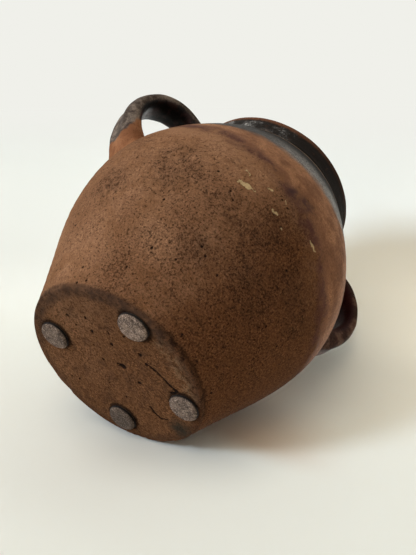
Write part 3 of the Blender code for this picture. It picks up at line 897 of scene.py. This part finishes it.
# The grey band below the neck is a painted sheen, speckled and weaker on the -X side; the same band gets more
# coat.
coat_and_painted_sheen = (rise + 0.006 * grain).smooth(0.176, 0.154)
fronted = x.smooth(-0.045, -0.005)
sandy = (0.6 * sand + 0.4 * grain).smooth(0.34, 0.62) * (0.15 + 0.85 * fronted)
# Glaze pooled on the collar's -X side: more coat there, and pale specks in it that are painted glints.
pooled_and_glints = clay.noise(0.013, 3.0, 0.6).smooth(0.46, 0.62) * (-x).smooth(0.010, 0.042)
pooled_and_glints = pooled_and_glints * z.smooth(COLLAR_FOOT - 0.001, COLLAR_FOOT + 0.001)
# A pale line on the shoulder's edge: partly thin glaze, partly a painted highlight.
collar_edge = abs(z - SHOULDER_EDGE).smooth(0.0016, 0.0006) * grain.smooth(0.30, 0.52)
worn_lip = (z + 0.0022 * (grain - 0.5)).smooth(0.1980, 0.2008)
lip_wear = worn_lip * (1.0 - 0.6 * is_inside) * (0.20 + 0.65 * (-x).smooth(-0.020, 0.035))
glaze_tint = clay.blend(
    GLAZE,
    (grain.smooth(0.56, 0.76) * 0.6, GLAZE_BROWN),
    (coat_and_painted_sheen * (1.0 - is_inside) * sandy * 0.85, PAINTED_SHEEN),
    (pooled_and_glints * sand.smooth(0.52, 0.66) * 0.55, PAINTED_GLINT))
tint = clay.blend(
    tint, (thick, glaze_tint), (collar_edge * (1.0 - is_inside) * 0.75, RIDGE), (lip_wear, LIP_BROWN))
clay.feed("Base Color", tint)
print("glaze: satin below the neck, pooled on the collar, worn off the lip")

# %% Gloss and relief of the clay
gloss = thick * (1.0 - 0.7 * worn_lip)
wet = 0.08 + 0.20 * coat_and_painted_sheen * fronted + 0.85 * pooled_and_glints
clay.feed("Roughness", 0.92 - 0.20 * washed - 0.20 * gloss + 0.10 * grain)
clay.feed("Coat Weight", 0.02 * washed + gloss * wet * (0.35 + 1.20 * sand.smooth(0.34, 0.66)))
bare = 1.0 - 0.70 * washed
skin = bare * (0.00060 * grain + 0.00030 * sand + 0.00018 * drag - 0.00045 * pores) - 0.0009 * pits
base_skin = is_under * (0.0008 * base_holes + 0.0006 * base_cracks)
glaze_skin = thick * (0.00040 * grain + 0.00020 * sand)
clay.relief((1.0 - 0.70 * thick) * (skin - base_skin) - 0.0006 * chipped + glaze_skin)
clay.put_on(pot)
print("clay finish on", pot.name)

# %% [markdown]
# The handles took the same dip, but it stopped short of the left one's lower root and left the clay bare
# there. The glaze lies thin and grey over the outside of the straps and thick in the loops, which are painted
# nearly black: thick glaze, with painted shade where the loops face the wall.
# The right handle came out of the kiln redder than the left one.

# %% Handle finish
ROOT_CLAY, ROOT_PALE = tone(126, 80, 52), tone(154, 104, 71)
STRAP_GREY, STRAP_PALE, STRAP_THIN = tone(66, 53, 45), tone(124, 108, 95), tone(140, 123, 109)
STRAP_RED, STRAP_RED_PALE = tone(48, 25, 18), tone(84, 52, 37)
LOOP_SHADED_BLACK, LOOP_BROWN, LOOP_RED = tone(12, 8, 7), tone(44, 15, 12), tone(54, 15, 10)
strap = Finish("handle_glaze", Specular_IOR_Level=0.06, Coat_Roughness=0.16, Coat_IOR=1.45)
side, _, lift = strap.axes(strap.warped(0.009, 0.010))
strap_cloud, strap_grain = strap.noise(0.012, 4.0, 0.6), strap.noise(0.0035, 4.0, 0.65)
strap_sand = strap.noise(0.0012, 2.0, 0.6)
in_loop, on_right = strap.kept("inner").smooth(0.10, 0.55), side.smooth(-0.02, 0.02)
coated = (0.285 * lift - 1.3 * side).smooth(0.1692, 0.1722)
coated = coated.most(lift.smooth(0.149, 0.156)).most(side.smooth(0.0, 0.02))
bare_tint = strap.blend(
    ROOT_CLAY, (strap_cloud.smooth(0.35, 0.65), ROOT_PALE), (strap_sand.smooth(0.55, 0.72) * 0.5, PORE))
red_tint = strap.blend(STRAP_RED, (strap_cloud.smooth(0.42, 0.62), STRAP_RED_PALE))
# The inside of each loop: thick glaze, painted near black as shade where it faces the wall.
loop_glaze_and_shade = strap.blend(
    LOOP_SHADED_BLACK, (strap_cloud.smooth(0.44, 0.62) * 0.80, LOOP_BROWN), (on_right * 0.60, LOOP_RED))
coat_tint = strap.blend(
    STRAP_GREY,
    (strap_cloud.smooth(0.44, 0.64), STRAP_PALE),
    (strap_grain.smooth(0.52, 0.68) * 0.40, STRAP_THIN),
    (on_right * 0.80, red_tint),
    (in_loop * 0.95, loop_glaze_and_shade))
coat_tint = strap.scaled(coat_tint, 1.0 + 1.6 * (strap_sand - 0.5))
strap.feed("Base Color", strap.blend(bare_tint, (coated, coat_tint)))
strap.feed("Roughness", 0.88 - coated * (0.20 + 0.20 * in_loop - 0.15 * strap_grain))
shine = 0.08 - 0.05 * on_right + 0.05 * (1.0 - on_right) * in_loop
strap.feed("Coat Weight", coated * shine * strap_sand.smooth(0.30, 0.60))
strap.relief((1.0 - 0.5 * coated) * (0.0005 * strap_grain + 0.00022 * strap_sand) + 0.0003 * strap_cloud)
strap.put_on(handle_right, handle_left)
print("handle glaze over bare clay")

# %% [markdown]
# ## Felt and glue
# Pressed wool has no weave. Its colour is a mix of pale and dark fibres, each much longer than it is wide.
# The rim of each pad next to the base is painted dark, as painted shade. Two noises stretched in different
# directions stand for the fibres. One pad is painted darker than the others, as painted shade, and one has
# faded. The glue is a thin film that shows, if at all, as a line at a pad's edge, so it keeps its CAD disc
# and gets a plain finish.


# %% Felt finish
WOOL_DARK, WOOL, WOOL_FIBRE = tone(76, 62, 53), tone(124, 104, 90), tone(186, 162, 144)
# The last two colours are painted shade: one pad darker than the rest, and the rim of every pad next to the
# base.
WOOL_SPECK, WOOL_SHADED, WOOL_RIM_SHADE = tone(46, 37, 31), tone(52, 42, 32), tone(20, 15, 13)
felt = Finish("pressed_wool", Roughness=0.95, Specular_IOR_Level=0.15, Sheen_Weight=0.05, Sheen_Roughness=0.5)


def on_pad(name):
    """1 on one of the pads, falling to 0 beyond its edge."""
    return felt.distance(felt.place, pad_middle(*PAD_PLACES[name])).smooth(0.014, 0.008)


felt_cloud, felt_broad = felt.noise(0.0030, 4.0, 0.65), felt.noise(0.0120, 2.0)
felt_speck = felt.noise(0.0007, 2.0, 0.6)
fibre_one = felt.noise(0.0018, 2.0, 0.6, felt.stretched(felt.place, (3.0, 0.8, 2.0)))
fibre_two = felt.noise(0.0018, 2.0, 0.6, felt.stretched(felt.place, (0.8, 3.0, 2.0)))
wool = felt.blend(
    WOOL_DARK,
    ((0.6 * felt_cloud + 0.5 * felt_broad).smooth(0.42, 0.68), WOOL),
    (fibre_one.most(fibre_two).smooth(0.54, 0.70) * 0.70, WOOL_FIBRE),
    (felt_speck.smooth(0.52, 0.38) * 0.55, WOOL_SPECK),
    # Painted shade: the back-right pad darker than the others.
    (on_pad("back_right") * 0.45, WOOL_SHADED))
# Painted shade on the rim of each pad, next to the base.
pad_rim_shade = (felt.axes()[2] + 0.0005 * felt_cloud).smooth(0.0012, 0.0020)
wool = felt.blend(felt.scaled(wool, 1.0 + 0.35 * on_pad("front_left")), (pad_rim_shade * 0.96, WOOL_RIM_SHADE))
felt.feed("Base Color", wool)
felt.relief(0.0005 * felt_cloud + 0.0002 * felt_speck + 0.0001 * fibre_one)
felt.put_on(*pads.values())
print("felt on", len(pads), "pads")

# %% Glue finish
GLUE, GLUE_PALE = tone(54, 44, 35), tone(76, 62, 49)
glue = Finish("pad_glue", Roughness=0.55, Specular_IOR_Level=0.4)
glue_cloud = glue.noise(0.0025, 3.0)
glue.feed("Base Color", glue.blend(GLUE, (glue_cloud.smooth(0.4, 0.65), GLUE_PALE)))
glue.relief(0.0001 * glue_cloud)
for place in PAD_PLACES:
    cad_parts["glue_film_" + place].material_slots[0].material = glue.material
print("glue films finished")

# %% [markdown]
# ## The paper sweep
# A sheet of pale paper lies under the pot and curves up behind it, so no horizon shows. The pot rests on
# the straight part of its flank and on the edge of its foot. The sheet is turned about the upright, so that
# its curve stays clear of the mouth. It is only a stage, and it is seen from its front alone, so that a
# camera behind it still sees the pot.

# %% Stage directions
CAMERA_PITCH, SHEET_TURN = math.radians(14.0), math.radians(36.0)
FLOOR_UP = math.cos(CAMERA_PITCH) * CAMERA_UP - math.sin(CAMERA_PITCH) * CAMERA_FORWARD
FLOOR_BACK = math.cos(CAMERA_PITCH) * CAMERA_FORWARD + math.sin(CAMERA_PITCH) * CAMERA_UP
FLOOR_RIGHT = CAMERA_RIGHT
SHEET_BACK = math.cos(SHEET_TURN) * FLOOR_BACK + math.sin(SHEET_TURN) * FLOOR_RIGHT
SHEET_ALONG = math.cos(SHEET_TURN) * FLOOR_RIGHT - math.sin(SHEET_TURN) * FLOOR_BACK


def vertices_of(obj):
    """All the vertices of a mesh object as an array of rows."""
    flat = np.empty(len(obj.data.vertices) * 3, np.float32)
    obj.data.vertices.foreach_get("co", flat)
    return flat.reshape(-1, 3).astype(float)


floor_level = min(float((vertices_of(node) @ FLOOR_UP).min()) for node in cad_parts.values())
print("floor: pot's lowest point is", round(floor_level * 1000, 2), "mm along its up direction")

# %% Sweep surface
SWEEP_START, SWEEP_RADIUS = 0.117, 0.240
SWEEP_FRONT, SWEEP_TOP, SWEEP_HALF_WIDTH = 0.90, 1.30, 1.60


def sweep_rows():
    """(back, up) of the paper: flat, then a quarter circle, then straight up."""
    turn = np.linspace(0.0, math.pi / 2, 40)
    arc = np.column_stack([SWEEP_START + SWEEP_RADIUS * np.sin(turn), SWEEP_RADIUS * (1 - np.cos(turn))])
    return np.vstack([[(-SWEEP_FRONT, 0.0)], arc, [(SWEEP_START + SWEEP_RADIUS, SWEEP_TOP)]])


rows = sweep_rows()
across = np.array((-SWEEP_HALF_WIDTH, SWEEP_HALF_WIDTH))
points = rows[:, None, :1] * SHEET_BACK + (rows[:, None, 1:] + floor_level) * FLOOR_UP
points = points + across[None, :, None] * SHEET_ALONG
first = np.arange(len(rows) - 1) * 2
faces = np.column_stack([first, first + 1, first + 3, first + 2])
paper = mesh_piece("paper_sweep", points.reshape(-1, 3), faces.tolist())
paper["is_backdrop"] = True

# %% [markdown]
# A sheet in a room is not evenly bright: its left side, its curve and its upper part each get their own share
# of the walls' light, it is darkest along the pot's contact, and beside the belly it takes on the warm light
# that comes back from the clay. Gains over the sheet stand for this. Only the camera sees them, so they don't
# light the pot. High up the sheet gives way to an even backdrop.

# %% Brightness of the sheet
PAPER, BACKDROP = tone(213, 217, 213), tone(240, 240, 234)
PAPER_GAIN, LEFT_FLOOR_GAIN, LEFT_WALL_GAIN = 1.10, 1.18, 0.94
WALL_LEAN, WALL_RISE, BACKDROP_RISE = 0.25, (0.050, 0.150), (0.130, 0.200)
GLOW_GAIN, GLOW_BACK, GLOW_HALF = 0.17, 0.243, (0.062, 0.012)
HIGH_GAIN, HIGH_RISE = -0.07, (0.070, 0.100)
SHADE_GAIN, SHADE_REACH = -0.15, 0.050
SHADE_LINE = (0.047, 0.027, -0.007), (0.078, -0.002, 0.008)
BOUNCE, BOUNCE_PLACE, BOUNCE_REACH = tone(190, 177, 163), (0.089, 0.001, 0.036), 0.070
sheet = Finish("paper", Base_Color=PAPER, Roughness=0.9, Specular_IOR_Level=0.2)
rays = sheet.node("ShaderNodeLightPath").outputs
looking = Field(sheet, rays["Is Camera Ray"])
to_right, to_back = sheet.along(FLOOR_RIGHT), sheet.along(SHEET_BACK)
above_floor = sheet.along(FLOOR_UP) - floor_level
up_wall = (above_floor + WALL_LEAN * sheet.along(FLOOR_BACK)).smooth(*WALL_RISE)
left_gain = LEFT_FLOOR_GAIN + (LEFT_WALL_GAIN - LEFT_FLOOR_GAIN) * up_wall
gain = left_gain + (PAPER_GAIN - left_gain) * to_right.smooth(-0.20, 0.16)
glow = abs(to_back - GLOW_BACK).smooth(*GLOW_HALF)
gain = gain + (GLOW_GAIN * glow + HIGH_GAIN * above_floor.smooth(*HIGH_RISE)) * to_right.smooth(0.06, 0.15)
gain = gain + SHADE_GAIN * sheet.stroke(sheet.place, *SHADE_LINE).smooth(SHADE_REACH, 0.0)
bounce = sheet.distance(sheet.place, BOUNCE_PLACE).smooth(BOUNCE_REACH, 0.0) * to_back.smooth(0.040, 0.066)
sheet_tint = sheet.blend(PAPER, (bounce * looking, BOUNCE))
sheet.feed("Base Color", sheet.scaled(sheet_tint, 1.0 + (gain - 1.0) * looking))
print("paper: gains for the left side, the curve, the upper part and the contact")

# %% Paper seen from the front only
behind = sheet.field("ShaderNodeNewGeometry", output="Backfacing")
mirrored = Field(sheet, rays["Is Glossy Ray"]) + rays["Is Transmission Ray"]
far = above_floor.smooth(*BACKDROP_RISE) * (looking + mirrored).least(1.0)
backdrop = sheet.node("ShaderNodeEmission", None, {"Color": BACKDROP}).outputs[0]
front = sheet.mixed(far, sheet.shader.outputs[0], backdrop)
both = sheet.mixed(behind * looking, front, sheet.node("ShaderNodeBsdfTransparent").outputs[0])
sheet.tree.links.new(both, sheet.tree.nodes["Material Output"].inputs["Surface"])
sheet.put_on(paper)
print("paper: one-sided")

# %% [markdown]
# ## Light
# Daylight from a window on the left gives the soft shadow on the right. A pale ceiling lights the pot alone.
# Two lamps light the paper alone: a wide patch of sky, whose shadow is nearly lost, and a fill from the
# camera's side that throws none. One weak lamp behind the paper, which the paper doesn't block, keeps the far
# side of the pot readable when it is seen from there. Cycles' light tree is off: with lamps linked to some
# pieces only, it gave one of two slightly different pictures at random.


# %% Lamps
def over_floor(azimuth, height):
    """A direction by its turn over the floor from the picture's right and its height, both in degrees."""
    azimuth, height = math.radians(azimuth), math.radians(height)
    flat = math.cos(azimuth) * FLOOR_RIGHT + math.sin(azimuth) * FLOOR_BACK
    return math.cos(height) * flat + math.sin(height) * FLOOR_UP


def sun(name, towards, strength, spread, colour):
    """A distant lamp in the given direction, as wide as its spread in degrees."""
    lamp = bpy.data.lights.new(name, "SUN")
    lamp.energy, lamp.angle, lamp.color = strength, math.radians(spread), colour
    obj = bpy.data.objects.new(name, lamp)
    back = unit(np.array(towards))
    side = unit(np.cross(FLOOR_UP, back))
    obj.matrix_world = placed(side, np.cross(back, side), -back, back)
    scene.collection.objects.link(obj)
    return obj


camera_side = 0.35 * FLOOR_UP - FLOOR_BACK
paper_fill = sun("paper_fill", camera_side, strength=1.30, spread=110.0, colour=(1.0, 0.82, 0.65))
paper_sky = sun("paper_sky", over_floor(235.0, 62.0), strength=1.20, spread=50.0, colour=(1.0, 0.84, 0.64))
window = sun("window", over_floor(205.0, 28.0), strength=2.25, spread=13.0, colour=(0.72, 0.85, 1.0))
ceiling = sun("ceiling", over_floor(190.0, 55.0), strength=1.40, spread=110.0, colour=(1.0, 0.925, 0.82))
back_fill = sun("back_fill", (0.55, 0.55, 0.63), strength=0.9, spread=40.0, colour=(1.0, 0.98, 0.95))

# %% What each lamp lights, and what blocks it
vessel, stage, nothing = (bpy.data.collections.new(name) for name in ("vessel", "sheet", "nothing"))
for piece in (*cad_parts.values(), pot, handle_right, handle_left, *pads.values()):
    vessel.objects.link(piece)
stage.objects.link(paper)
for lamp, lit, blocked_by in ((window, None, vessel), (ceiling, vessel, vessel), (back_fill, vessel, vessel),
                              (paper_sky, stage, vessel), (paper_fill, stage, nothing)):
    lamp.light_linking.blocker_collection = blocked_by
    if lit:
        lamp.light_linking.receiver_collection = lit
scene.cycles.use_light_tree = False
print("lamps: window, ceiling, two for the paper and one behind")

# %% [markdown]
# The room itself adds a little warm light from all round. Where it is seen or mirrored it is pale, like the
# backdrop, instead of dim.

# %% Room
ROOM_LIGHT, ROOM_STRENGTH = (1.0, 0.90, 0.76, 1.0), 0.16
ROOM_SEEN = tone(236, 237, 231)
world = scene.world = bpy.data.worlds.new("room")
world.use_nodes = True
world.node_tree.nodes.clear()
room = Nodes(world.node_tree)
rays = room.node("ShaderNodeLightPath").outputs
mirrored = Field(room, rays["Is Glossy Ray"]).most(rays["Is Transmission Ray"])
seen = Field(room, rays["Is Camera Ray"]).most(mirrored)
dim = room.node("ShaderNodeBackground", None, {"Color": ROOM_LIGHT, "Strength": ROOM_STRENGTH}).outputs[0]
bright = room.node("ShaderNodeBackground", None, {"Color": ROOM_SEEN, "Strength": 1.0}).outputs[0]
room.node("ShaderNodeOutputWorld", None, {"Surface": room.mixed(seen, dim, bright)})
print("room light", ROOM_STRENGTH)

# %% [markdown]
# ## Size
# The box of the dressed part, leaving out the paper, is worked out.

# %% Size
low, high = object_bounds()
